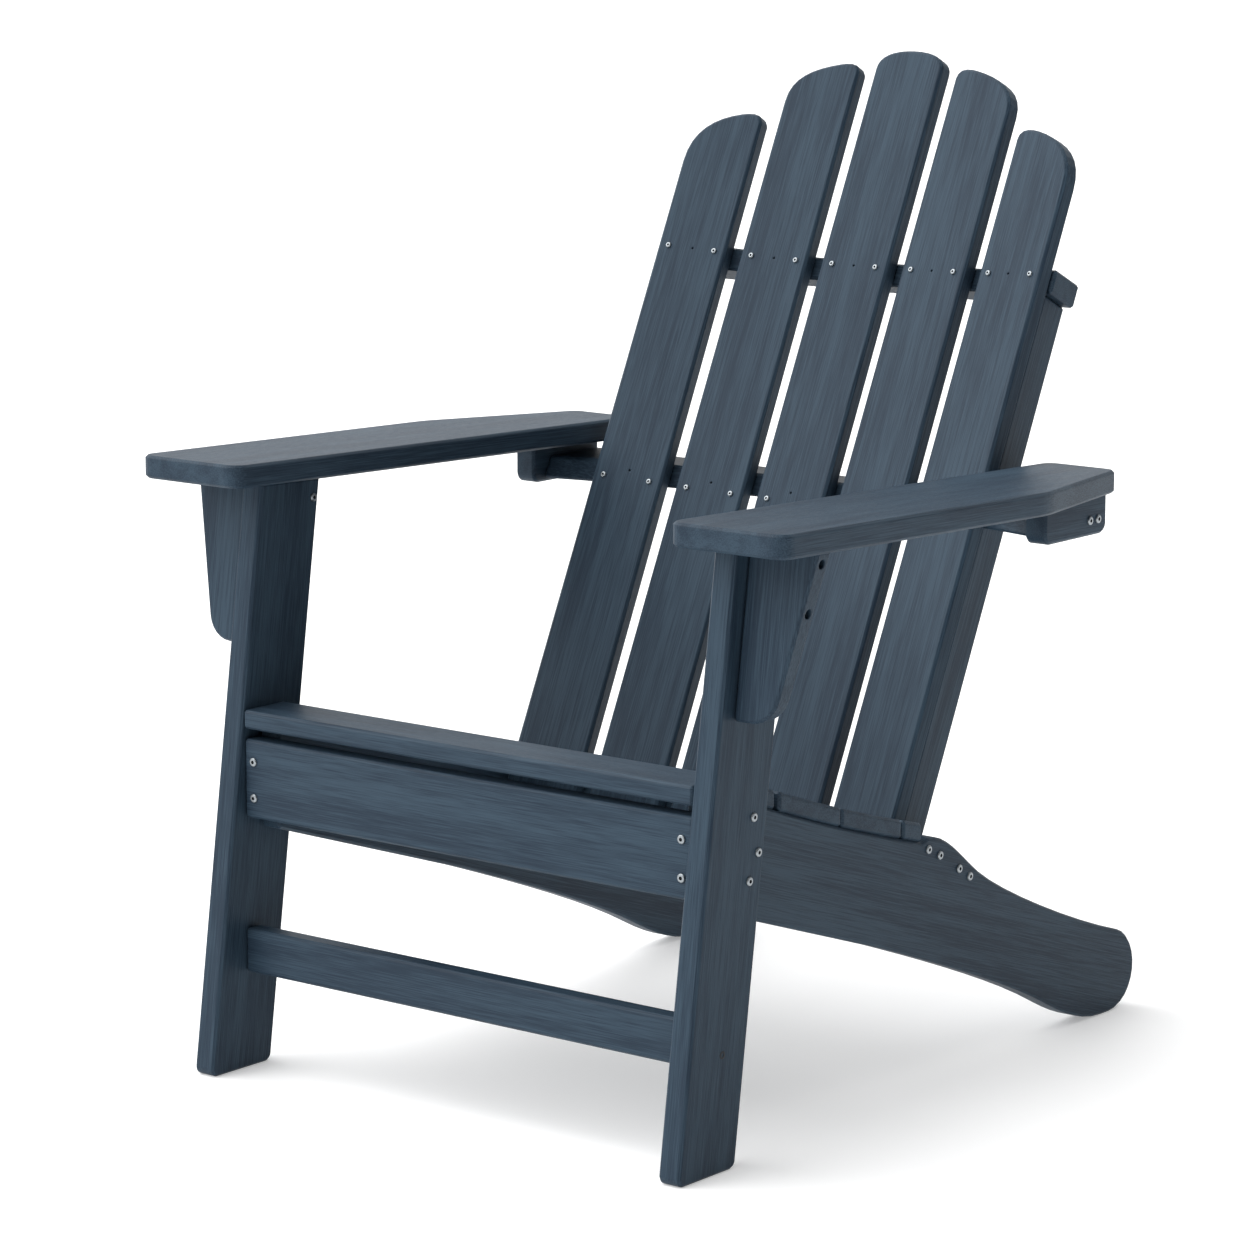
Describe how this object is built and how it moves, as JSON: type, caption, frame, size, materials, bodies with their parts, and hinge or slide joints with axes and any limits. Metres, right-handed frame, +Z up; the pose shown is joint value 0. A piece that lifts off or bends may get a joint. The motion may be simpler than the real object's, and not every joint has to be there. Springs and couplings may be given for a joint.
{
  "type": "adirondack chair",
  "caption": "Low reclined garden chair in navy plastic lumber: slatted seat, curved fan of round-topped back slats, broad flat arms on bracketed front legs, curved rear legs.",
  "frame": {"origin": "on the floor, under the centre of the chair's bounding box", "axes": "+Z up; the sitter faces -Y; +X is the sitter's left"},
  "size_m": [0.762, 0.7775, 0.9463],
  "materials": {
    "lumber": "matte navy polyethylene lumber with a faint brushed wood grain and eased edges",
    "steel": "bright stainless pan-head screws with a small recessed drive"
  },
  "bodies": {
    "root": {"apron_screw_left_1": "steel", "apron_screw_left_2": "steel", "apron_screw_right_1": "steel", "apron_screw_right_2": "steel", "arm_cleat_left": "lumber", "arm_cleat_right": "lumber", "arm_corbel_left": "lumber", "arm_corbel_right": "lumber", "arm_left": "lumber", "arm_level_rail": "lumber", "arm_rear_block_left": "lumber", "arm_rear_block_right": "lumber", "arm_right": "lumber", "back_slat_1": "lumber", "back_slat_2": "lumber", "back_slat_3": "lumber", "back_slat_4": "lumber", "back_slat_5": "lumber", "back_upright_left": "lumber", "back_upright_right": "lumber", "block_screw_left_1": "steel", "block_screw_left_2": "steel", "block_screw_right_1": "steel", "block_screw_right_2": "steel", "front_apron": "lumber", "front_leg_left": "lumber", "front_leg_right": "lumber", "leg_screw_left_1": "steel", "leg_screw_left_2": "steel", "leg_screw_left_3": "steel", "leg_screw_right_1": "steel", "leg_screw_right_2": "steel", "leg_screw_right_3": "steel", "lower_back_rail": "lumber", "lower_stretcher": "lumber", "rear_cross_rail": "lumber", "seat_slat_1": "lumber", "seat_slat_2": "lumber", "seat_slat_3": "lumber", "seat_slat_4": "lumber", "seat_slat_5": "lumber", "side_stringer_left": "lumber", "side_stringer_right": "lumber", "stringer_screw_left_1": "steel", "stringer_screw_left_2": "steel", "stringer_screw_left_3": "steel", "stringer_screw_left_4": "steel", "stringer_screw_right_1": "steel", "stringer_screw_right_2": "steel", "stringer_screw_right_3": "steel", "stringer_screw_right_4": "steel", "upper_back_rail": "lumber"}
  },
  "joints": []
}
